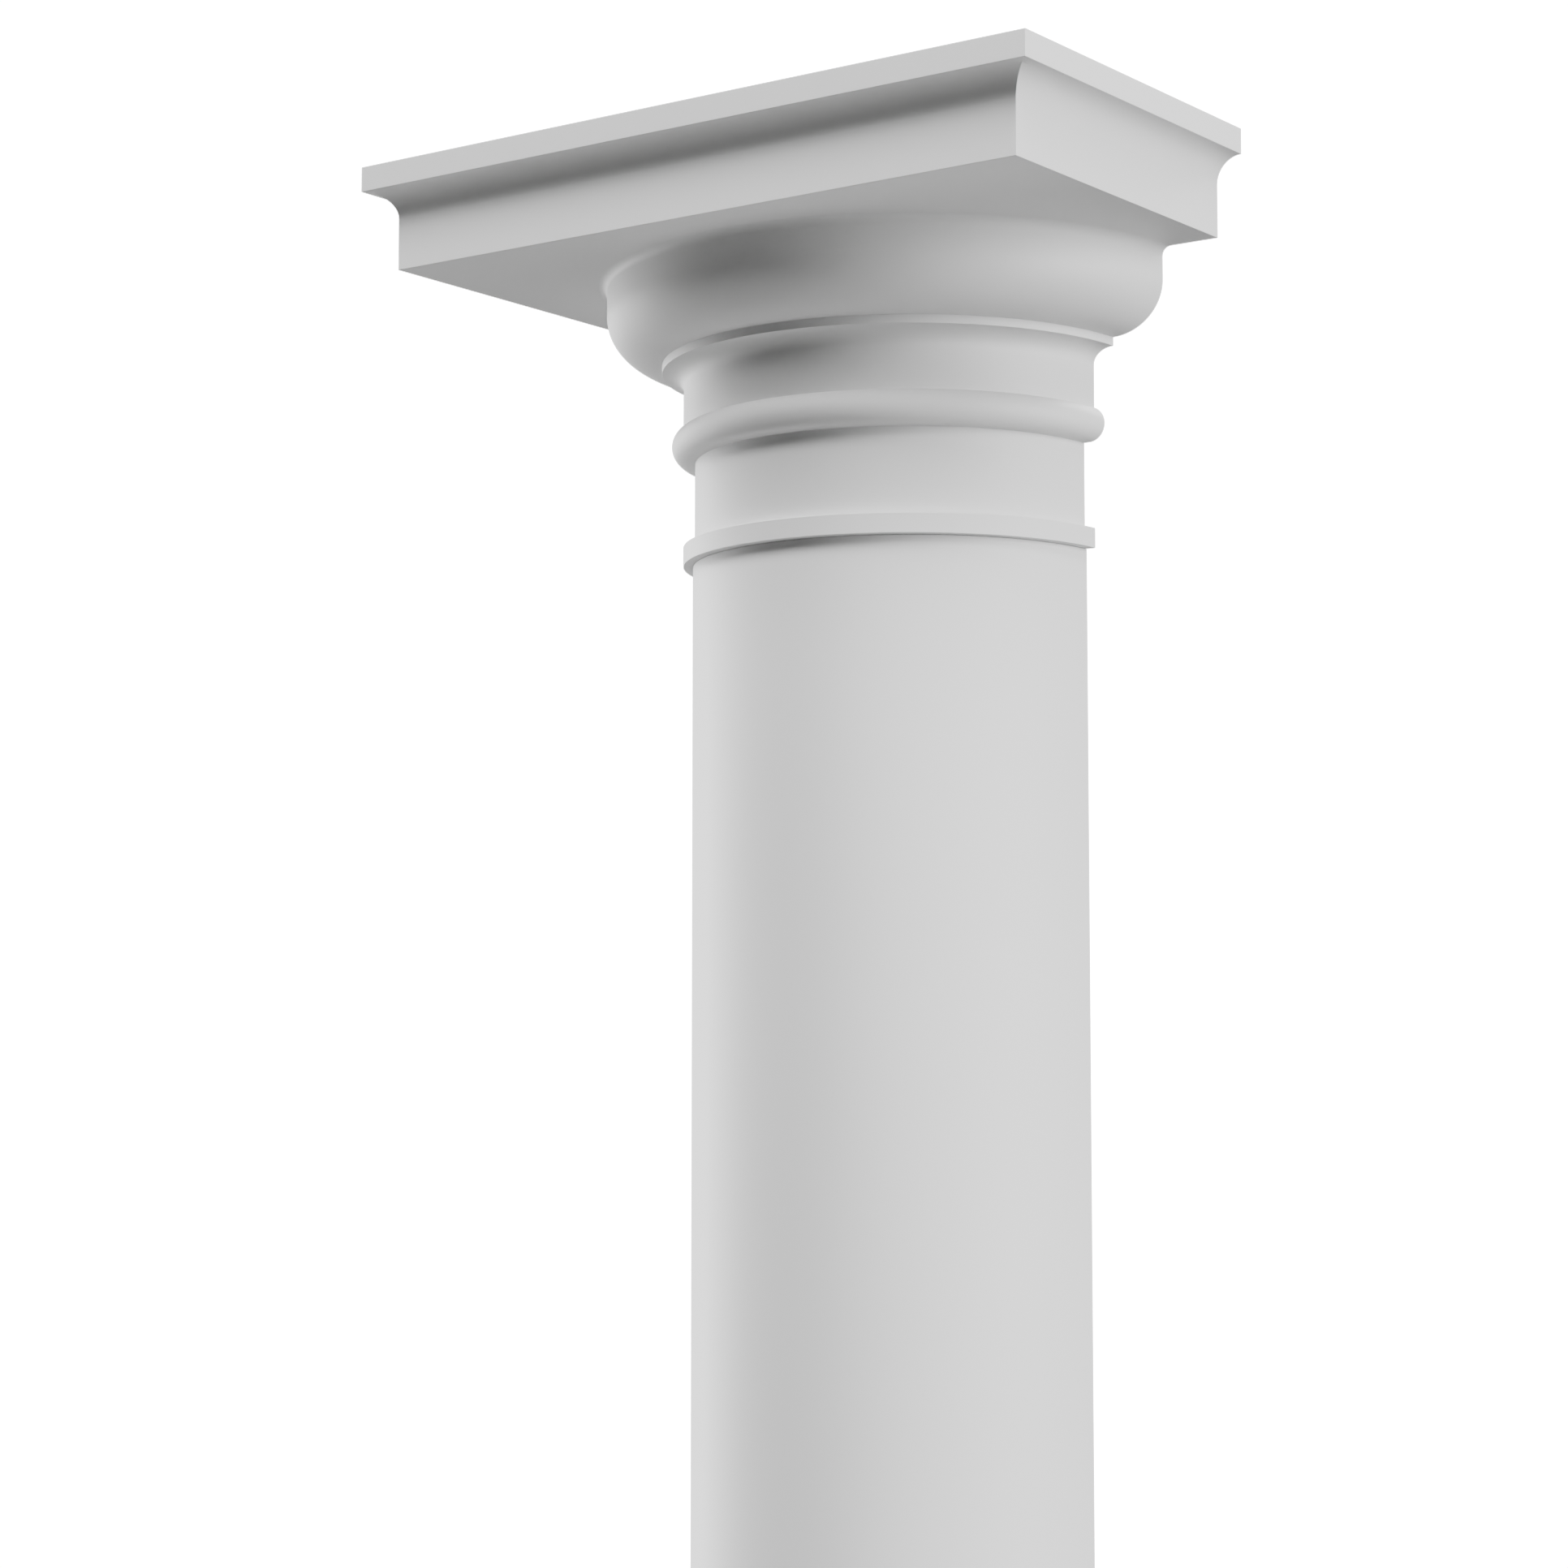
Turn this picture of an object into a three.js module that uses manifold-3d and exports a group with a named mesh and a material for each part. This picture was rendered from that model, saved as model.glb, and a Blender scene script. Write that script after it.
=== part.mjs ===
// Half column in the smooth Roman Doric manner, made to stand against a wall.
//
// Millimetres, +Z up. The column is cut flat down its axis: the flat back faces +Y, the round
// front faces -Y, and the origin is at floor level, under the middle of the column's outline.
// It is three castings stacked on each other: a base, a plain shaft and a capital.

import * as THREE from 'three';
import { mergeVertices } from 'three/addons/utils/BufferGeometryUtils.js';
import Module from 'manifold-3d';

// Driving dimensions of the whole column
const columnHeight = 2200; // floor to the top of the abacus
const shaftRadius = 137.5; // eight diameters make the column's height
const bedJoint = 0.3; // open hairline between two castings

// Capital, from the shaft upwards. A projection is measured outwards from the face below it.
const ringProjection = 6.25; // beyond the shaft
const ringHeight = 12.5;
const neckingSetback = 1.25; // the necking is that much slimmer than the shaft
const neckingHeight = 55;
const upperNeckProjection = 7.5; // beyond the necking
const upperNeckHeight = 26.75;
const beadProjection = 7.5; // beyond the upper neck
const beadHeight = 22;
const cavettoProjection = 14.25;
const cavettoHeight = 10.5;
const echinusFilletHeight = 5.5;
const ovoloProjection = 36;
const ovoloHeight = 32;
const echinusBandHeight = 14.5; // the upright face between the ovolo and the soffit cove
const soffitCove = 6; // radius of the small cove under the abacus
const abacusOverhang = 39; // from the echinus band to the abacus fascia
const fasciaHeight = 33;
const abacusCove = 17; // radius of the cove between the fascia and the top fillet
const topFilletHeight = 16;

// Base, from the floor upwards
const plinthHeight = 70;
const plinthMargin = 6; // the plinth's face stands that far outside the torus
const torusProjection = 56.5; // beyond the shaft
const torusHeight = 50;
const baseFilletProjection = 20.5; // beyond the shaft
const baseFilletHeight = 17.5;

// Fineness of the facets
const facetsAround = 96; // around the full circle, a multiple of four
const facetDepth = 0.15; // how far a facet may fall short of a moulding's curve
const weldDistance = 0.001; // corners this close are one corner

// Sizes that follow from those
const ringRadius = shaftRadius + ringProjection;
const neckingRadius = shaftRadius - neckingSetback;
const upperNeckRadius = neckingRadius + upperNeckProjection;
const echinusFilletRadius = upperNeckRadius + cavettoProjection;
const echinusBandRadius = echinusFilletRadius + ovoloProjection;
const fasciaReach = echinusBandRadius + abacusOverhang;
const abacusReach = fasciaReach + abacusCove;
const abacusHeight = fasciaHeight + abacusCove + topFilletHeight;
const torusReach = shaftRadius + torusProjection;
const plinthReach = torusReach + plinthMargin;
const baseHeight = plinthHeight + torusHeight + baseFilletHeight;
const echinusHeight = cavettoHeight + echinusFilletHeight + ovoloHeight + echinusBandHeight + soffitCove;
const neckHeight = ringHeight + neckingHeight + beadHeight + upperNeckHeight;
const capitalHeight = neckHeight + echinusHeight + abacusHeight;
const shaftLength = columnHeight - baseHeight - capitalHeight - 2 * bedJoint;

// Points of a profile, with the radius across and the height up
const point = (radius, height) => new THREE.Vector2(radius, height);
const quarter = Math.PI / 2;
const half = Math.PI;

// An arc of a profile, from one angle to another in radians, anticlockwise where the angle grows
function arc(centreRadius, centreHeight, across, up, from, to) {
  const step = 2 * Math.acos(1 - facetDepth / Math.max(across, up));
  const curve = new THREE.EllipseCurve(centreRadius, centreHeight, across, up, from, to, to < from);
  return curve.getPoints(Math.ceil(Math.abs(to - from) / step));
}

// A round bead standing on a level bed. Its ends run into the faces below and above it.
function roundBead(reach, bottom, height, radiusBelow, radiusAbove) {
  const size = height / 2;
  const centre = reach - size;
  const meets = (face) => Math.acos(THREE.MathUtils.clamp((face - centre) / size, 0, 1));
  return arc(centre, bottom + size, size, size, -meets(radiusBelow), meets(radiusAbove));
}

// The library that joins and cuts closed solids
const wasm = await Module();
wasm.setup();

// A closed geometry as a solid: corners welded, and triangles that shrank to a line left out
function solidFrom(geometry) {
  const bare = geometry.clone();
  bare.deleteAttribute('normal');
  bare.deleteAttribute('uv');
  const merged = mergeVertices(bare, weldDistance);
  const corners = merged.index.array;
  const triangles = [];
  for (let i = 0; i < corners.length; i += 3) {
    const [a, b, c] = [corners[i], corners[i + 1], corners[i + 2]];
    if (a !== b && b !== c && c !== a) triangles.push(a, b, c);
  }
  return new wasm.Manifold(
    new wasm.Mesh({
      numProp: 3,
      vertProperties: new Float32Array(merged.attributes.position.array),
      triVerts: new Uint32Array(triangles),
    }),
  );
}

// A solid as a geometry with flat facets
function geometryFrom(solid) {
  const mesh = solid.getMesh();
  const geometry = new THREE.BufferGeometry();
  geometry.setAttribute('position', new THREE.BufferAttribute(new Float32Array(mesh.vertProperties), 3));
  geometry.setIndex(new THREE.BufferAttribute(new Uint32Array(mesh.triVerts), 1));
  const faceted = geometry.toNonIndexed();
  faceted.computeVertexNormals();
  return faceted;
}

// A full round, turned about the upright axis from a profile that starts and ends on it
function turned(profile) {
  return solidFrom(new THREE.LatheGeometry(profile, facetsAround).rotateX(Math.PI / 2));
}

// The same profile run round a square and mitred at the corners: a lathe with four facets
function squared(profile) {
  const acrossCorners = profile.map(({ x, y }) => point(x * Math.SQRT2, y));
  const block = new THREE.LatheGeometry(acrossCorners, 4, Math.PI / 4);
  return solidFrom(block.rotateX(Math.PI / 2));
}

// The half in front of the wall, cut by a block that stands clear of the piece on its other sides
function frontHalf(solid, reach, height) {
  const room = 10;
  const width = 2 * (reach + room);
  const keep = new THREE.BoxGeometry(width, width / 2, height + 2 * room);
  keep.translate(0, -width / 4, height / 2);
  return solid.intersect(solidFrom(keep));
}

// Cast plaster under matt off-white paint
const plaster = () => new THREE.MeshStandardMaterial({ color: '#e7e7e7', roughness: 0.6, metalness: 0 });

function piece(name, solid, height) {
  const mesh = new THREE.Mesh(geometryFrom(solid), plaster());
  mesh.name = name;
  mesh.position.z = height;
  return mesh;
}

// Capital: the turned mouldings up to the soffit, and the square abacus on them
function capital() {
  const ringTop = ringHeight;
  const neckingTop = ringTop + neckingHeight;
  const beadTop = neckingTop + beadHeight;
  const upperNeckTop = beadTop + upperNeckHeight;
  const cavettoTop = upperNeckTop + cavettoHeight;
  const filletTop = cavettoTop + echinusFilletHeight;
  const ovoloTop = filletTop + ovoloHeight;
  const bandTop = ovoloTop + echinusBandHeight;
  const soffit = bandTop + soffitCove;
  const fasciaTop = soffit + fasciaHeight;

  const mouldings = turned([
    point(0, 0),
    point(ringRadius, 0),
    point(ringRadius, ringTop),
    point(neckingRadius, ringTop),
    point(neckingRadius, neckingTop),
    ...roundBead(upperNeckRadius + beadProjection, neckingTop, beadHeight, neckingRadius, upperNeckRadius),
    // Cavetto: hollow, upright at the neck and level under the fillet
    ...arc(echinusFilletRadius, upperNeckTop, cavettoProjection, cavettoHeight, half, quarter),
    // Ovolo: full, level at the fillet and upright at the band
    ...arc(echinusFilletRadius, ovoloTop, ovoloProjection, ovoloHeight, -quarter, 0),
    // Cove under the soffit, then up into the abacus
    ...arc(echinusBandRadius + soffitCove, bandTop, soffitCove, soffitCove, half, quarter),
    point(echinusBandRadius + soffitCove, fasciaTop),
    point(0, fasciaTop),
  ]);
  const abacus = squared([
    point(0, soffit),
    point(fasciaReach, soffit),
    ...arc(abacusReach, fasciaTop, abacusCove, abacusCove, half, quarter),
    point(abacusReach, capitalHeight),
    point(0, capitalHeight),
  ]);
  const whole = frontHalf(mouldings.add(abacus), abacusReach, capitalHeight);
  return piece('capital', whole, columnHeight - capitalHeight);
}

// Base: a half-square plinth with a torus and a fillet on it, their foot sunk into the plinth
function base() {
  const torusTop = plinthHeight + torusHeight;
  const torusBed = torusReach - torusHeight / 2;
  const filletRadius = shaftRadius + baseFilletProjection;
  const mouldings = turned([
    point(0, plinthHeight / 2),
    point(torusBed, plinthHeight / 2),
    ...roundBead(torusReach, plinthHeight, torusHeight, torusBed, filletRadius),
    point(filletRadius, torusTop),
    point(filletRadius, baseHeight),
    point(0, baseHeight),
  ]);
  const plinth = squared([
    point(0, 0),
    point(plinthReach, 0),
    point(plinthReach, plinthHeight),
    point(0, plinthHeight),
  ]);
  return piece('base', frontHalf(mouldings.add(plinth), plinthReach, baseHeight), 0);
}

// Shaft: a plain half-round drum between the base and the capital
function shaft() {
  const drum = turned([
    point(0, 0),
    point(shaftRadius, 0),
    point(shaftRadius, shaftLength),
    point(0, shaftLength),
  ]);
  return piece('shaft', frontHalf(drum, shaftRadius, shaftLength), baseHeight + bedJoint);
}

const column = new THREE.Group();
column.add(base(), shaft(), capital());
column.position.y = Math.max(abacusReach, plinthReach) / 2;

export default column;
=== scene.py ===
# %% [markdown]
# # A half column in painted plaster
# This notebook dresses a column that a builder sets against a wall. It has three castings, stacked
# on each other: a base, a plain shaft and a capital. Their sizes and places are fixed by a packed
# model, the frame, which is loaded first and never changed. Each casting is then made again as a
# fine, smooth mesh, and gets its paint. The light and the floor come last.

# %% The fixed frame
import math

import bmesh
import bpy
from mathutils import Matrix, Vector


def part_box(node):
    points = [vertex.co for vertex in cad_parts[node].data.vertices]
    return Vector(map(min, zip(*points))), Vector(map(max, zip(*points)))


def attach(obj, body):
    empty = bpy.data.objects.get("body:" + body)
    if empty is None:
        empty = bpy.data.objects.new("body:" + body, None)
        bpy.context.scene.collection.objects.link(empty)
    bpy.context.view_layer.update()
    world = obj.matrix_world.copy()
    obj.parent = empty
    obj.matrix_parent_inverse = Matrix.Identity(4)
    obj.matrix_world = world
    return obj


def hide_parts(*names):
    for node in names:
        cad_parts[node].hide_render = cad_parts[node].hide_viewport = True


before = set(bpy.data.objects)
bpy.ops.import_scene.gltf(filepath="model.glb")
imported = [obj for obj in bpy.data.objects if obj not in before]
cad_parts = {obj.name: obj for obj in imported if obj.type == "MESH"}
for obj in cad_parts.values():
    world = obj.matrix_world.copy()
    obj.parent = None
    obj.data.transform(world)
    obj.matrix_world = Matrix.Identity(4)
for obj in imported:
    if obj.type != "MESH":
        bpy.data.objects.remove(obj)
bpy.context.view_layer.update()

MM = 0.001  # one millimetre, in Blender's metres
capital_low, capital_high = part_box("capital")
shaft_low, shaft_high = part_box("shaft")
base_low, base_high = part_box("base")
WALL = capital_high.y  # where the wall's face is, and so the flat back of every casting

# %% [markdown]
# # The camera
# The view is worked out from the photograph's perspective. The upright edges hardly lean together,
# so the lens is long, and the underside of the top shows, so the camera looks up. It stands at eye
# height, a good two metres away and to the right. Every value is a real length or angle, apart from
# the focal length. That is measured in pixels, and a sensor 36 mm wide is spread over the frame.

# %% Camera
FRAME_PX = 1932
FOCAL_PX = 4319.7
SENSOR_WIDTH = 36.0
CAMERA_TURN = math.radians(35.862)  # to the right, from straight in front
CAMERA_PITCH = math.radians(5.206)  # upwards
CAMERA_DISTANCE = 2258.1 * MM  # from the column's axis, level
CAMERA_ASIDE = -78.4 * MM  # to the right of the level line from the axis
CAMERA_BELOW_TOP = 597.4 * MM

backwards = Vector((math.sin(CAMERA_TURN), -math.cos(CAMERA_TURN), 0))
rightwards = Vector((math.cos(CAMERA_TURN), math.sin(CAMERA_TURN), 0))
level_with = Vector((0, WALL, capital_high.z - CAMERA_BELOW_TOP))

lens = bpy.data.cameras.new("camera")
lens.sensor_width = SENSOR_WIDTH
lens.lens = FOCAL_PX / FRAME_PX * SENSOR_WIDTH
camera = bpy.data.objects.new("camera", lens)
camera.location = level_with + backwards * CAMERA_DISTANCE + rightwards * CAMERA_ASIDE
camera.rotation_euler = (math.pi / 2 + CAMERA_PITCH, 0, CAMERA_TURN)
bpy.context.scene.collection.objects.link(camera)
bpy.context.scene.camera = camera
print(f"a lens of {lens.lens:.1f} mm, {camera.location.z:.2f} m above the floor")

# %% [markdown]
# # Adding nodes
# Both the shapes and the finishes are made of nodes. One short function adds a node of any kind: it
# sets the node's options, and gives each input a value or a link from an earlier node.

# %% One function for every node


def add(tree, kind, inputs=None, **options):
    """A new node. An input gets a value, an output socket, or a node, which means its first output."""
    node = tree.nodes.new(kind)
    for name, value in options.items():
        setattr(node, name, value)
    for name, value in (inputs or {}).items():
        if isinstance(value, bpy.types.Node):
            value = value.outputs[0]
        if isinstance(value, bpy.types.NodeSocket):
            tree.links.new(value, node.inputs[name])
        else:
            node.inputs[name].default_value = value
    return node


# A Mix node has many inputs of the same name, so the ones for colours go by their number
FIRST_COLOUR, SECOND_COLOUR, MIXED_COLOUR = 6, 7, 2

# %% [markdown]
# # Painted plaster
# The castings are gypsum plaster, sanded smooth and rolled with a matt, off-white emulsion paint. To
# the eye such paint is even and chalky: it has no clear highlight, only a faint sheen at a grazing
# angle, and a close look finds the roller's stipple and slightly cloudy patches. Colours are given
# as sRGB codes, which people can read, and one function turns them into the linear values that
# Blender computes with. Patterns are laid out in object coordinates, in real millimetres.

# %% Colours


def linear(code):
    """An sRGB hex code as linear red, green, blue and alpha."""
    shares = [int(code[i:i + 2], 16) / 255 for i in (1, 3, 5)]
    return [s / 12.92 if s <= 0.04045 else ((s + 0.055) / 1.055) ** 2.4 for s in shares] + [1.0]


# %% Paint on the castings
PAINT = "#e8e8e8"
PAINT_CLOUDED = "#e5e5e5"
PAINT_ROUGHNESS = 0.6
PAINT_IOR = 1.5
CLOUD_SIZE = 160 * MM  # between two patches where the paint is a little thicker
STIPPLE_SIZE = 2.5 * MM  # between two bumps of the roller's stipple
STIPPLE_DEPTH = 0.012 * MM


def rolled_emulsion():
    """Matt emulsion paint on sanded plaster."""
    finish = bpy.data.materials.new("rolled_matt_emulsion_on_plaster")
    finish.use_nodes = True
    tree = finish.node_tree
    shader = tree.nodes["Principled BSDF"]
    shader.inputs["Roughness"].default_value = PAINT_ROUGHNESS
    shader.inputs["IOR"].default_value = PAINT_IOR
    place = add(tree, "ShaderNodeTexCoord").outputs["Object"]
    clouds = add(tree, "ShaderNodeTexNoise", {"Vector": place, "Scale": 1 / CLOUD_SIZE, "Detail": 3.0})
    colour = add(tree, "ShaderNodeMix",
                 {"Factor": clouds, FIRST_COLOUR: linear(PAINT), SECOND_COLOUR: linear(PAINT_CLOUDED)},
                 data_type="RGBA")
    stipple = add(tree, "ShaderNodeTexNoise", {"Vector": place, "Scale": 1 / STIPPLE_SIZE, "Detail": 2.0})
    relief = add(tree, "ShaderNodeBump", {"Height": stipple, "Distance": STIPPLE_DEPTH})
    tree.links.new(colour.outputs[MIXED_COLOUR], shader.inputs["Base Color"])
    tree.links.new(relief.outputs[0], shader.inputs["Normal"])
    return finish


paint = rolled_emulsion()
print("finish:", paint.name)

# %% [markdown]
# The flat back, the underside of the base and the top of the abacus are never seen once the column
# stands in its place, so they stay bare plaster. The open side of the mould was drawn off level while
# the plaster was wet, with a straight edge worked from side to side. That leaves long shallow drag
# marks across the casting. Their hollows dry paler than their ridges, and all of it is a warmer white
# than the paint. The marks are a little deeper and wider here than real ones, so that they show from
# where the whole column is in view.

# %% Bare plaster on the back and the beds
BARE = "#e1ded8"
BARE_DAMP = "#d5d1c9"
BARE_ROUGHNESS = 0.95
BARE_IOR = 1.45
PATCH_SIZE = 180 * MM  # between two patches that dried paler
DRAG_LENGTH = 200 * MM
DRAG_WIDTH = 10 * MM
DRAG_DEPTH = 0.8 * MM
PALEST, DAMPEST = 0.75, 1.25  # sums of the two noises that get the two colours unmixed


def screeded_plaster():
    """Bare gypsum plaster, drawn off level with a straight edge."""
    finish = bpy.data.materials.new("bare_screeded_plaster")
    finish.use_nodes = True
    tree = finish.node_tree
    shader = tree.nodes["Principled BSDF"]
    shader.inputs["Roughness"].default_value = BARE_ROUGHNESS
    shader.inputs["IOR"].default_value = BARE_IOR
    place = add(tree, "ShaderNodeTexCoord").outputs["Object"]
    stretched = add(tree, "ShaderNodeMapping",
                    {"Vector": place, "Scale": (1 / DRAG_LENGTH, 1 / DRAG_WIDTH, 1 / DRAG_WIDTH)})
    drags = add(tree, "ShaderNodeTexNoise", {"Vector": stretched, "Scale": 1.0, "Detail": 3.0})
    patches = add(tree, "ShaderNodeTexNoise", {"Vector": place, "Scale": 1 / PATCH_SIZE, "Detail": 5.0})
    # Each noise stays between about 0.35 and 0.65, so their sum is about 1 in most places
    both = add(tree, "ShaderNodeMath", {0: drags, 1: patches}, operation="ADD")
    damp = add(tree, "ShaderNodeMapRange", {"Value": both, "From Min": PALEST, "From Max": DAMPEST})
    colour = add(tree, "ShaderNodeMix",
                 {"Factor": damp, FIRST_COLOUR: linear(BARE), SECOND_COLOUR: linear(BARE_DAMP)},
                 data_type="RGBA")
    relief = add(tree, "ShaderNodeBump", {"Height": drags, "Distance": DRAG_DEPTH})
    tree.links.new(colour.outputs[MIXED_COLOUR], shader.inputs["Base Color"])
    tree.links.new(relief.outputs[0], shader.inputs["Normal"])
    return finish


bare = screeded_plaster()
print("finish:", bare.name)

# %% [markdown]
# # Running a moulding
# A plasterer runs a moulding with a template, a metal plate that is cut to its section. A turned
# moulding is run about a centre, and a square one along a straight rule, with mitred corners. Here
# too, a moulding is its section and a rule. The section is a list of points, and each has its reach
# from the axis, its height, and whether it is run round the circle or round the square. It could be
# swept with a curve, but a sweep gets thinner in a mitred corner. Geometry Nodes hold the rule
# exactly: they lay a grid, with a row for each point of the section and a column for each station
# round the column, and move each of its points to its place.

# %% The section of a moulding, in millimetres
ROUND, SQUARE = 0.0, 1.0
ARC_SPACING = 1.5  # between two points of an arc
FEWEST_STEPS = 6  # of an arc, however small it is


def arc(reach, height, across, up, start, stop):
    """Part of an ellipse about a centre, between two angles. Zero degrees is outwards, 90 upwards."""
    length = math.radians(abs(stop - start)) * (across + up) / 2
    steps = max(FEWEST_STEPS, round(length / ARC_SPACING))
    turns = [math.radians(start + (stop - start) * i / steps) for i in range(steps + 1)]
    return [(reach + across * math.cos(turn), height + up * math.sin(turn)) for turn in turns]


def bead(reach, foot, height, face_below, face_above):
    """A half-round bead on a level bed. Its ends run into the faces below and above it."""
    size = height / 2
    centre = reach - size
    first, last = (math.degrees(math.acos(min(max((face - centre) / size, 0), 1)))
                   for face in (face_below, face_above))
    return arc(centre, foot + size, size, size, -first, last)


def run(plan, points):
    """The same points, each with the plan that it is run round."""
    return [(reach, height, plan) for reach, height in points]


# %% [markdown]
# In the tree, a column of the grid is turned to its own angle. On the circle, a point goes out along
# that direction by its reach. On the square it has to go further, towards a corner up to 1.41 times
# as far. That factor is one over the larger share of the direction, and raised to the power nought
# it is 1, which is the circle again. So one formula serves for both, and the flat between a round
# row and a square one, such as the soffit of the abacus, comes by itself.

# %% The rule, as a node tree
WELD = 0.01 * MM  # points that are closer than this are one point


def moulding_rule():
    """Geometry Nodes that run a template, a line of points, round the front half of the column."""
    tree = bpy.data.node_groups.new("run_moulding", "GeometryNodeTree")
    sockets = tree.interface
    sockets.new_socket("Template", in_out="INPUT", socket_type="NodeSocketGeometry")
    sockets.new_socket("Stations", in_out="INPUT", socket_type="NodeSocketInt")
    sockets.new_socket("Foot", in_out="INPUT", socket_type="NodeSocketFloat")
    sockets.new_socket("Wall", in_out="INPUT", socket_type="NodeSocketFloat")
    sockets.new_socket("Finish", in_out="INPUT", socket_type="NodeSocketMaterial")
    sockets.new_socket("Moulding", in_out="OUTPUT", socket_type="NodeSocketGeometry")
    given = add(tree, "NodeGroupInput").outputs

    # The grid is half a turn wide, so a place along its Y is an angle in radians
    points = add(tree, "GeometryNodeAttributeDomainSize", {"Geometry": given["Template"]}, component="MESH")
    grid = add(tree, "GeometryNodeMeshGrid",
               {"Vertices X": points.outputs["Point Count"], "Vertices Y": given["Stations"],
                "Size Y": math.pi})
    place = add(tree, "ShaderNodeSeparateXYZ", {0: add(tree, "GeometryNodeInputPosition")})
    angle = add(tree, "ShaderNodeMath", {0: place.outputs["Y"], 1: math.pi / 2}, operation="SUBTRACT")
    east = add(tree, "ShaderNodeMath", {0: angle}, operation="COSINE")
    north = add(tree, "ShaderNodeMath", {0: angle}, operation="SINE")

    # Each row takes the reach, the height and the plan of its own point of the template
    row = add(tree, "GeometryNodeInputIndex")
    row = add(tree, "FunctionNodeIntegerMath", {0: row, 1: given["Stations"]}, operation="DIVIDE_FLOOR")
    section = add(tree, "GeometryNodeInputPosition")
    section = add(tree, "GeometryNodeSampleIndex",
                  {"Geometry": given["Template"], "Value": section, "Index": row},
                  data_type="FLOAT_VECTOR")
    section = add(tree, "ShaderNodeSeparateXYZ", {0: section})
    plan = add(tree, "GeometryNodeInputNamedAttribute", {"Name": "plan"}, data_type="FLOAT")
    plan = add(tree, "GeometryNodeSampleIndex",
               {"Geometry": given["Template"], "Value": plan, "Index": row},
               data_type="FLOAT")

    # One over the larger share of the direction on the square, and one on the circle
    east_share = add(tree, "ShaderNodeMath", {0: east}, operation="ABSOLUTE")
    north_share = add(tree, "ShaderNodeMath", {0: north}, operation="ABSOLUTE")
    share = add(tree, "ShaderNodeMath", {0: east_share, 1: north_share}, operation="MAXIMUM")
    power = add(tree, "ShaderNodeMath", {0: plan, 1: -1.0}, operation="MULTIPLY")
    factor = add(tree, "ShaderNodeMath", {0: share, 1: power}, operation="POWER")
    reach = add(tree, "ShaderNodeMath", {0: section.outputs["X"], 1: factor}, operation="MULTIPLY")

    direction = add(tree, "ShaderNodeCombineXYZ", {"X": east, "Y": north})
    outwards = add(tree, "ShaderNodeVectorMath", {0: direction, "Scale": reach}, operation="SCALE")
    height = add(tree, "ShaderNodeMath", {0: section.outputs["Z"], 1: given["Foot"]}, operation="ADD")
    axis = add(tree, "ShaderNodeCombineXYZ", {"Y": given["Wall"], "Z": height})
    moved = add(tree, "ShaderNodeVectorMath", {0: outwards, 1: axis}, operation="ADD")

    shell = add(tree, "GeometryNodeSetPosition", {"Geometry": grid, "Position": moved})
    shell = add(tree, "GeometryNodeMergeByDistance", {"Geometry": shell, "Distance": WELD})
    shell = add(tree, "GeometryNodeSetShadeSmooth", {"Geometry": shell})
    shell = add(tree, "GeometryNodeRealizeInstances", {"Geometry": shell})
    shell = add(tree, "GeometryNodeSetMaterial", {"Geometry": shell, "Material": given["Finish"]})
    add(tree, "NodeGroupOutput", {"Moulding": shell})
    return tree


rule = moulding_rule()
print("the rule has", len(rule.nodes), "nodes")

# %% [markdown]
# # From a section to a casting
# No arris of a painted casting is a knife edge: sanding and paint round it, and the thin round is
# what catches the light. A Bevel modifier eases every corner that is sharper than the joints of an
# arc. The result is taken as a plain mesh, and its open side along the wall is filled with one flat
# face. That face keeps a crisp edge, as plaster does that is drawn off level with its mould. At
# last, weighted normals keep the large faces flat beside their small rounds.

# %% Closing a casting


def close(mesh):
    """Fill the side along the wall, leave it and the column's two beds bare, and turn faces outwards."""
    form = bmesh.new()
    form.from_mesh(mesh)
    rim = [edge for edge in form.edges if edge.is_boundary]
    bare_slot = mesh.materials.find(bare.name)
    bmesh.ops.edgeloop_fill(form, edges=rim, mat_nr=bare_slot, use_smooth=False)
    for edge in rim:
        edge.smooth = False
    bmesh.ops.recalc_face_normals(form, faces=form.faces)
    for face in form.faces:
        for bed in (base_low.z, capital_high.z):
            if all(abs(vertex.co.z - bed) < WELD for vertex in face.verts):
                face.material_index = bare_slot
    form.to_mesh(mesh)
    form.free()


# %% Casting a piece
STATIONS = 193  # round the half column, with one on each mitre
ARRIS = 0.3 * MM  # radius of an eased corner
ARRIS_STEPS = 3
ARC_JOINT = math.radians(30)  # a bend of less than this is a joint of an arc


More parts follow.
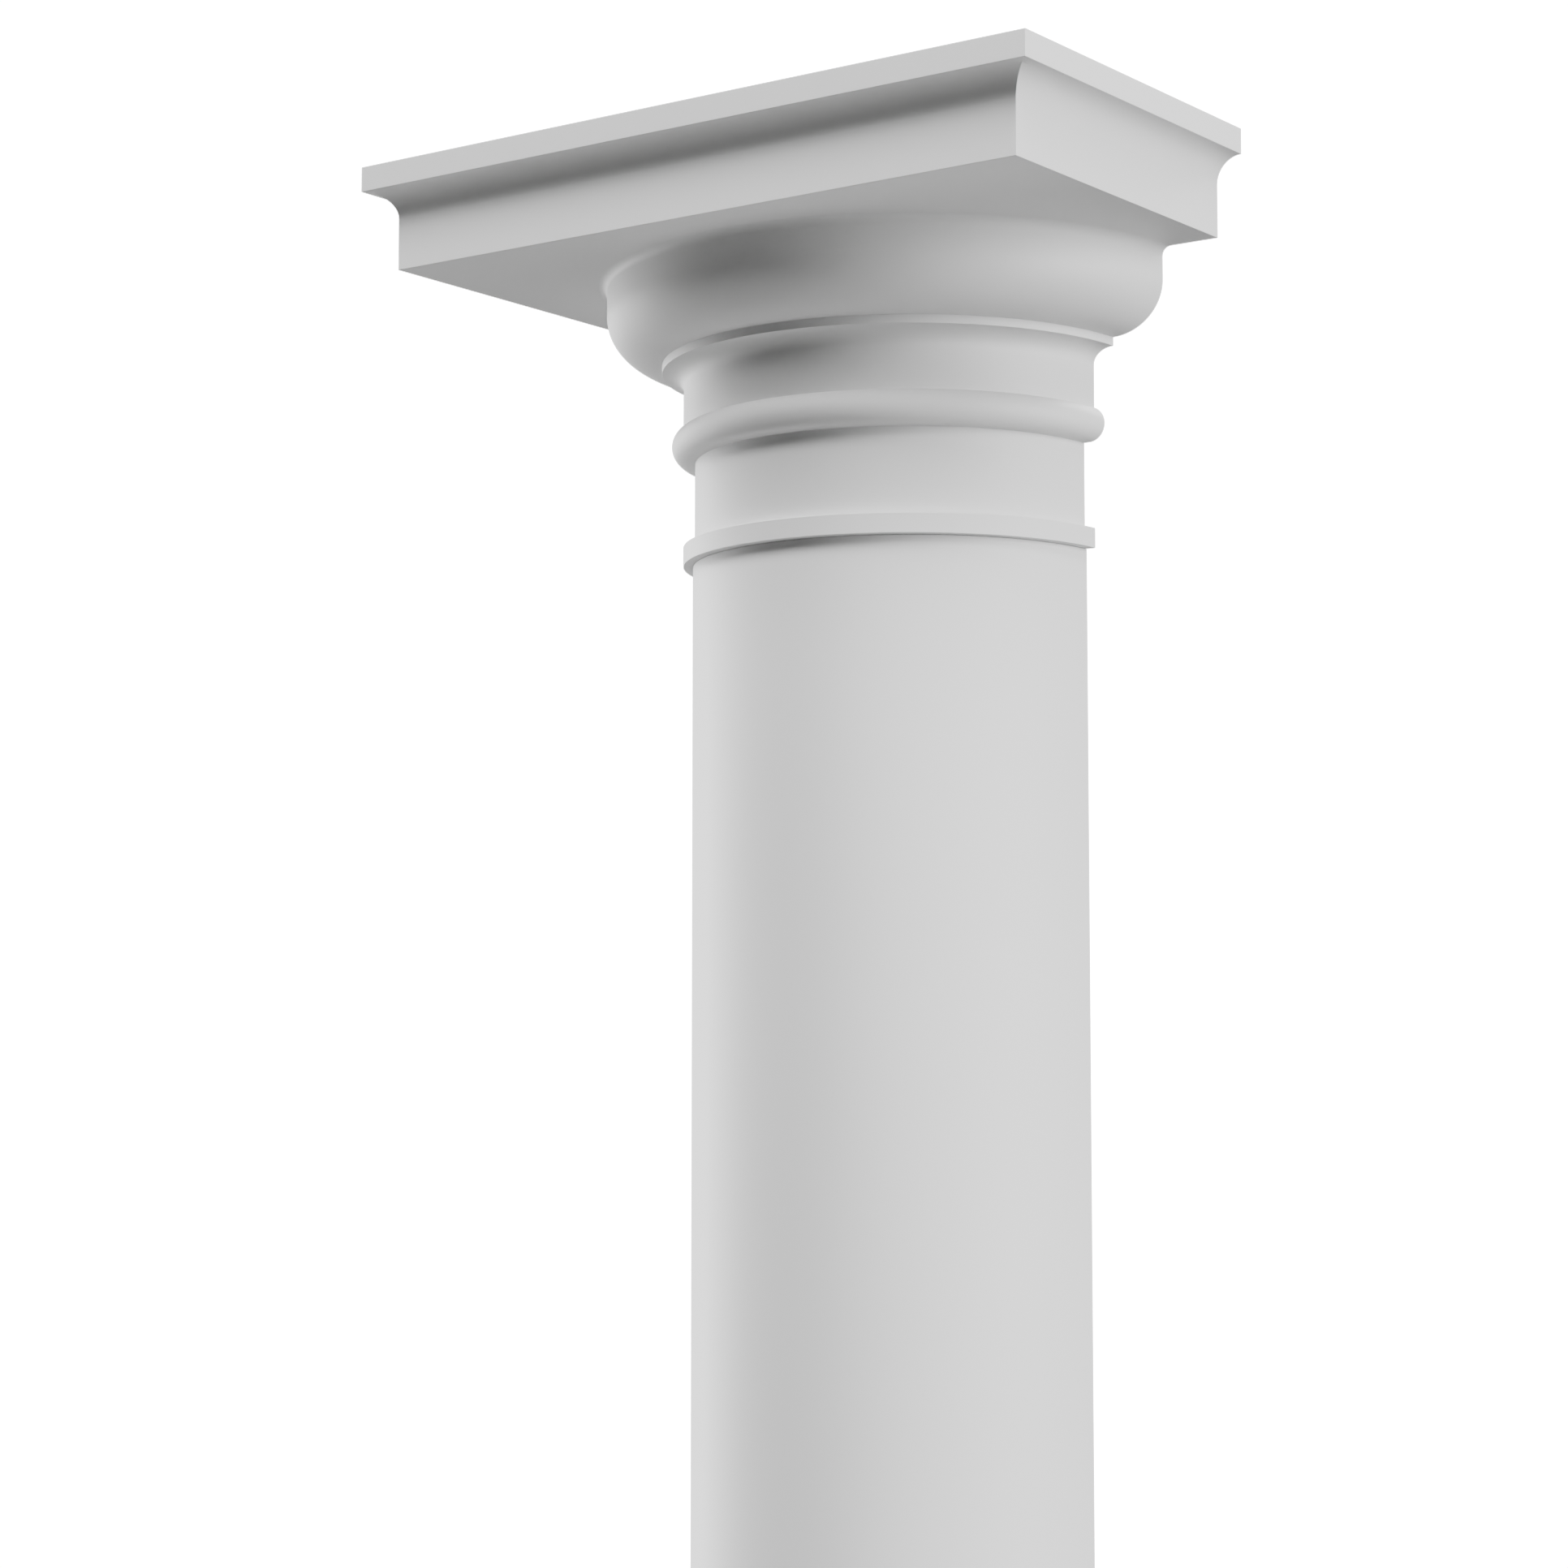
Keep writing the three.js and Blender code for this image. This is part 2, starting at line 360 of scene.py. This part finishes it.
def cast(name, template, foot, replaces, eased=True):
    """Run a template round the column, close the casting's back, and let it stand for its node."""
    mesh = bpy.data.meshes.new(name)
    mesh.from_pydata([(reach * MM, 0, height * MM) for reach, height, plan in template], [], [])
    plans = mesh.attributes.new("plan", "FLOAT", "POINT")
    plans.data.foreach_set("value", [plan for reach, height, plan in template])
    piece = bpy.data.objects.new(name, mesh)
    bpy.context.scene.collection.objects.link(piece)

    running = piece.modifiers.new("run the moulding", "NODES")
    running.node_group = rule
    for socket, value in {"Stations": STATIONS, "Foot": foot, "Wall": WALL, "Finish": paint}.items():
        running[rule.interface.items_tree[socket].identifier] = value
    if eased:
        easing = piece.modifiers.new("ease the arrises", "BEVEL")
        easing.width = ARRIS
        easing.segments = ARRIS_STEPS
        easing.limit_method = "ANGLE"
        easing.angle_limit = ARC_JOINT
        easing.use_clamp_overlap = False
    made = piece.evaluated_get(bpy.context.evaluated_depsgraph_get())
    piece.data = bpy.data.meshes.new_from_object(made)
    piece.data.name = name
    piece.modifiers.clear()

    piece.data.materials.pop(index=0)  # the grid's own slot, which is empty
    piece.data.materials.append(bare)
    close(piece.data)
    piece.modifiers.new("keep faces flat", "WEIGHTED_NORMAL").keep_sharp = True
    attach(piece, "root")
    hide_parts(replaces)
    triangles = sum(len(face.vertices) - 2 for face in piece.data.polygons)
    bare_area = sum(face.area for face in piece.data.polygons if face.material_index > 0)
    print(f"{name}: {len(template)} points in its section, {triangles} triangles,",
          f"{bare_area:.3f} m2 left bare")


# %% [markdown]
# # The capital
# One casting: a thin square-edged ring on top of the shaft, a plain necking, a bead, a second, wider
# neck, a small hollow under a fillet, the full quarter round of the echinus, and the square abacus
# with its own hollow and fillet. Every size is a projection or a height of one moulding, as in a
# pattern book, and the sections of the mouldings are put one on top of the other.

# %% Sizes of the capital, in millimetres
SHAFT_RADIUS = shaft_high.x / MM
RING_PROJECTION, RING_HEIGHT = 6.25, 12.5
NECKING_SETBACK, NECKING_HEIGHT = 1.25, 55
UPPER_NECK_PROJECTION, UPPER_NECK_HEIGHT = 7.5, 26.75
BEAD_PROJECTION, BEAD_HEIGHT = 7.5, 22
CAVETTO_PROJECTION, CAVETTO_HEIGHT = 14.25, 10.5
ECHINUS_FILLET_HEIGHT = 5.5
OVOLO_PROJECTION, OVOLO_HEIGHT = 36, 32
ECHINUS_BAND_HEIGHT = 14.5
SOFFIT_COVE = 6
FASCIA_HEIGHT = 33
ABACUS_COVE = 17
TOP_FILLET_HEIGHT = 16

# %% Section of the capital, from its bed upwards
ring_reach = SHAFT_RADIUS + RING_PROJECTION
necking_reach = SHAFT_RADIUS - NECKING_SETBACK
upper_neck_reach = necking_reach + UPPER_NECK_PROJECTION
bead_reach = upper_neck_reach + BEAD_PROJECTION
fillet_reach = upper_neck_reach + CAVETTO_PROJECTION
band_reach = fillet_reach + OVOLO_PROJECTION
abacus_reach = capital_high.x / MM
fascia_reach = abacus_reach - ABACUS_COVE

necking_top = RING_HEIGHT + NECKING_HEIGHT
bead_top = necking_top + BEAD_HEIGHT
upper_neck_top = bead_top + UPPER_NECK_HEIGHT
fillet_foot = upper_neck_top + CAVETTO_HEIGHT
fillet_top = fillet_foot + ECHINUS_FILLET_HEIGHT
ovolo_top = fillet_top + OVOLO_HEIGHT
band_top = ovolo_top + ECHINUS_BAND_HEIGHT
soffit = band_top + SOFFIT_COVE
fascia_top = soffit + FASCIA_HEIGHT
capital_top = fascia_top + ABACUS_COVE + TOP_FILLET_HEIGHT

capital_template = (
    run(ROUND, [(0, 0), (ring_reach, 0), (ring_reach, RING_HEIGHT), (necking_reach, RING_HEIGHT),
                (necking_reach, necking_top)])
    + run(ROUND, bead(bead_reach, necking_top, BEAD_HEIGHT, necking_reach, upper_neck_reach))
    + run(ROUND, arc(fillet_reach, upper_neck_top, CAVETTO_PROJECTION, CAVETTO_HEIGHT, 180, 90))
    + run(ROUND, arc(fillet_reach, ovolo_top, OVOLO_PROJECTION, OVOLO_HEIGHT, -90, 0))
    + run(ROUND, arc(band_reach + SOFFIT_COVE, band_top, SOFFIT_COVE, SOFFIT_COVE, 180, 90))
    + run(SQUARE, [(fascia_reach, soffit)])
    + run(SQUARE, arc(abacus_reach, fascia_top, ABACUS_COVE, ABACUS_COVE, 180, 90))
    + run(SQUARE, [(abacus_reach, capital_top), (0, capital_top)])
)
cast("cast_capital", capital_template, capital_low.z, "capital")
capital_height = (capital_high.z - capital_low.z) / MM
print(f"its section is {capital_top:.2f} mm high, and the frame's capital {capital_height:.2f} mm")

# %% [markdown]
# # The shaft
# A plain half drum of one width, with no swelling and no flutes. It is run with a straight edge.
# Both ends are cut off square and stay crisp, because they close tight against the ring above and
# the base below. A rounded end would leave a dark groove there that the real joint hasn't.

# %% Shaft
shaft_length = (shaft_high.z - shaft_low.z) / MM
shaft_template = run(ROUND, [(0, 0), (SHAFT_RADIUS, 0), (SHAFT_RADIUS, shaft_length), (0, shaft_length)])
cast("cast_shaft", shaft_template, shaft_low.z, "shaft", eased=False)

# %% [markdown]
# # The base
# The photograph ends above it, so the base is the plain counterpart of the capital: a square plinth,
# one full round, and a fillet that the shaft stands on. The flat on top of the plinth, between the
# square and the round, needs no points of its own.

# %% Base
PLINTH_HEIGHT = 70
TORUS_PROJECTION, TORUS_HEIGHT = 56.5, 50
BASE_FILLET_PROJECTION = 20.5

plinth_reach = base_high.x / MM
base_top = (base_high.z - base_low.z) / MM
torus_reach = SHAFT_RADIUS + TORUS_PROJECTION
torus_bed = torus_reach - TORUS_HEIGHT / 2
torus_top = PLINTH_HEIGHT + TORUS_HEIGHT
base_fillet_reach = SHAFT_RADIUS + BASE_FILLET_PROJECTION
base_template = (
    run(SQUARE, [(0, 0), (plinth_reach, 0), (plinth_reach, PLINTH_HEIGHT)])
    + run(ROUND, bead(torus_reach, PLINTH_HEIGHT, TORUS_HEIGHT, torus_bed, base_fillet_reach))
    + run(ROUND, [(base_fillet_reach, torus_top), (base_fillet_reach, base_top), (0, base_top)])
)
cast("cast_base", base_template, base_low.z, "base")

# %% [markdown]
# # The tone curve
# Before the lamps come the tones, because the lamps are set through them. In the photograph, a face
# that gets twice the light isn't twice as bright: its bright tones are drawn together, as film does
# it, and only the ground is pure white. The plain Standard view doesn't do that, and Blender's
# film-like views need such a bright ground for pure white that it eats into the column's outline. So
# the Standard view gets a curve of its own. Each point says how bright the screen shows an amount of
# light, between black at no light and white at the white light.

# %% Tone curve
WHITE_LIGHT = 2.0
# An amount of light, and the share of white that it is shown with
TONES = {0.05: 0.035, 0.13: 0.147, 0.2: 0.242, 0.28: 0.337, 0.5: 0.515, 0.9: 0.683, 1.1: 0.7}

tone = bpy.context.scene.view_settings
tone.view_transform = "Standard"
tone.use_curve_mapping = True
tone.curve_mapping.white_level = (WHITE_LIGHT, WHITE_LIGHT, WHITE_LIGHT)
all_channels = tone.curve_mapping.curves[3]  # the first three are red, green and blue
for amount, shown in TONES.items():
    all_channels.points.new(amount / WHITE_LIGHT, shown)
tone.curve_mapping.update()
print("the tone curve has", len(all_channels.points), "points")

# %% [markdown]
# # The light
# The photograph has a white ground and soft light with no hard shadow. The column's two sides are
# its lightest parts, and the parts that face straight forward are darker. Under each ledge there is
# a deep, soft shadow on the front only. So two large panels stand level with the column on its left
# and right. Two hang high in front of it, and theirs is the light that the ledges keep off. They are
# near enough for their light to get weaker down the shaft, as it does in the photograph, and all the
# others are far away. One high on the left lights that side of the mouldings, and two dim ones low at
# the sides open up the undersides. The last is high behind the column, for the wall side in the other
# views, and the front never sees it. The world only gives the white ground: a Light Path node shows
# it to the camera and to nothing else, so that every bit of light on the column comes from a panel.

# %% White ground
GROUND_LIGHT = 1.02 * WHITE_LIGHT  # just past white, so that the ground is white without a doubt


def white_ground():
    """A world that is white to the camera, and black to everything else."""
    world = bpy.data.worlds.new("white_ground")
    world.use_nodes = True
    tree = world.node_tree
    tree.nodes.clear()
    white = add(tree, "ShaderNodeBackground", {"Color": linear("#ffffff"), "Strength": GROUND_LIGHT})
    path = add(tree, "ShaderNodeLightPath")
    seen = add(tree, "ShaderNodeMixShader", {0: path.outputs["Is Camera Ray"], 2: white})
    add(tree, "ShaderNodeOutputWorld", {"Surface": seen})
    return world


bpy.context.scene.world = white_ground()
print("the ground gives", GROUND_LIGHT, "and white starts at", WHITE_LIGHT)

# %% Panels
FRONT_DISTANCE = 11.0  # metres from the two front panels to the top of the column


def hang(lamp, turn, height, distance=0.0):
    """Point a lamp at the column's top from so many degrees right of the front and above the horizon."""
    light = bpy.data.objects.new(lamp.name, lamp)
    light.rotation_euler = (math.radians(90 - height), 0, math.radians(turn))
    away = light.rotation_euler.to_matrix() @ Vector((0, 0, distance))
    light.location = Vector((0, WALL, capital_high.z)) + away
    light.visible_camera = False
    bpy.context.scene.collection.objects.link(light)
    return light


def far_panel(name, turn, height, spread, strength):
    """A panel that is so far away that all of the column gets the same light from it.

    The spread is the panel's own width in degrees. The strength is the light that a pure white
    face gives off when it is turned straight to the panel, on the same scale as the tone curve.
    """
    lamp = bpy.data.lights.new(name, "SUN")
    lamp.energy = strength * math.pi
    lamp.angle = math.radians(spread)
    return hang(lamp, turn, height)


def front_panel(name, turn, height, spread, strength):
    """A round panel at the front distance. Its spread and strength are those at the column's top."""
    half_spread = math.radians(spread / 2)
    lamp = bpy.data.lights.new(name, "AREA")
    lamp.shape = "DISK"
    lamp.size = 2 * FRONT_DISTANCE * math.tan(half_spread)
    lamp.energy = strength * (math.pi * FRONT_DISTANCE / math.cos(half_spread)) ** 2
    return hang(lamp, turn, height, FRONT_DISTANCE)


# A separate program fitted the first seven panels to the photograph, and their numbers are its
# results, rounded. Set again are only the strengths of the two in front. The last panel was not
# fitted, and all of its numbers are given.
panels = [
    far_panel("left_side", turn=-97, height=2, spread=47, strength=0.84),
    far_panel("right_side", turn=94, height=4, spread=44, strength=0.71),
    front_panel("front_left_high", turn=-24, height=50, spread=32, strength=0.52),
    front_panel("front_right_high", turn=32, height=46, spread=37, strength=0.525),
    far_panel("left_high", turn=-98, height=59, spread=60, strength=0.32),
    far_panel("left_low", turn=-84, height=-54, spread=68, strength=0.135),
    far_panel("right_low", turn=109, height=-55, spread=82, strength=0.2),
    far_panel("behind_high", turn=180, height=35, spread=30, strength=0.6),
]
print(len(panels), "panels")

# %% [markdown]
# # The floor
# A pale, matt floor carries the column in the other views. The photograph's view is too high up to
# show it. It has no edge: further out it fades into a glow as bright as the white ground. A fade to
# clear glass would look the same, but it leaves grain, because each ray has to choose between the
# floor and the ground behind it. A small share of the glow is there from the start, so that the floor
# is a little lighter than the column's sides. The floor takes the light and the column's shadow, and
# gives no light back, because the light from below has panels of its own.

# %% Floor
FLOOR_RADIUS = 8.0
FLOOR_FULL_RADIUS = 2.0  # from there outwards, the floor fades
FLOOR_SIDES = 128
FLOOR_COLOUR = "#f4f4f4"
FLOOR_ROUGHNESS = 0.7
FLOOR_GLOW = 0.2  # share of the glow at the column's foot


def fading_floor():
    """A disc of smooth, matt, pale flooring, as bright as the ground at its edge."""
    finish = bpy.data.materials.new("smooth_pale_screed")
    finish.use_nodes = True
    tree = finish.node_tree
    shader = tree.nodes["Principled BSDF"]
    shader.inputs["Base Color"].default_value = linear(FLOOR_COLOUR)
    shader.inputs["Roughness"].default_value = FLOOR_ROUGHNESS
    place = add(tree, "ShaderNodeTexCoord").outputs["Object"]
    distance = add(tree, "ShaderNodeVectorMath", {0: place}, operation="LENGTH").outputs["Value"]
    # The camera sees far floor squeezed towards the horizon. One over the distance evens that out.
    nearness = add(tree, "ShaderNodeMath", {0: 1.0, 1: distance}, operation="DIVIDE")
    fade = add(tree, "ShaderNodeMapRange",
               {"Value": nearness, "From Min": 1 / FLOOR_FULL_RADIUS, "From Max": 1 / FLOOR_RADIUS,
                "To Min": FLOOR_GLOW},
               interpolation_type="SMOOTHSTEP")
    glow = add(tree, "ShaderNodeEmission", {"Color": linear("#ffffff"), "Strength": GROUND_LIGHT})
    mix = add(tree, "ShaderNodeMixShader", {0: fade, 1: shader, 2: glow})
    tree.links.new(mix.outputs[0], tree.nodes["Material Output"].inputs["Surface"])
    finish.cycles.emission_sampling = "NONE"

    form = bmesh.new()
    bmesh.ops.create_circle(form, cap_ends=True, segments=FLOOR_SIDES, radius=FLOOR_RADIUS)
    mesh = bpy.data.meshes.new("floor")
    form.to_mesh(mesh)
    form.free()
    mesh.materials.append(finish)
    floor = bpy.data.objects.new("floor", mesh)
    floor.location.z = base_low.z
    floor.visible_shadow = False
    floor.visible_diffuse = False
    floor.visible_glossy = False
    bpy.context.scene.collection.objects.link(floor)
    return floor


floor = fading_floor()
print("the floor fades from", FLOOR_FULL_RADIUS, "to", FLOOR_RADIUS, "m")
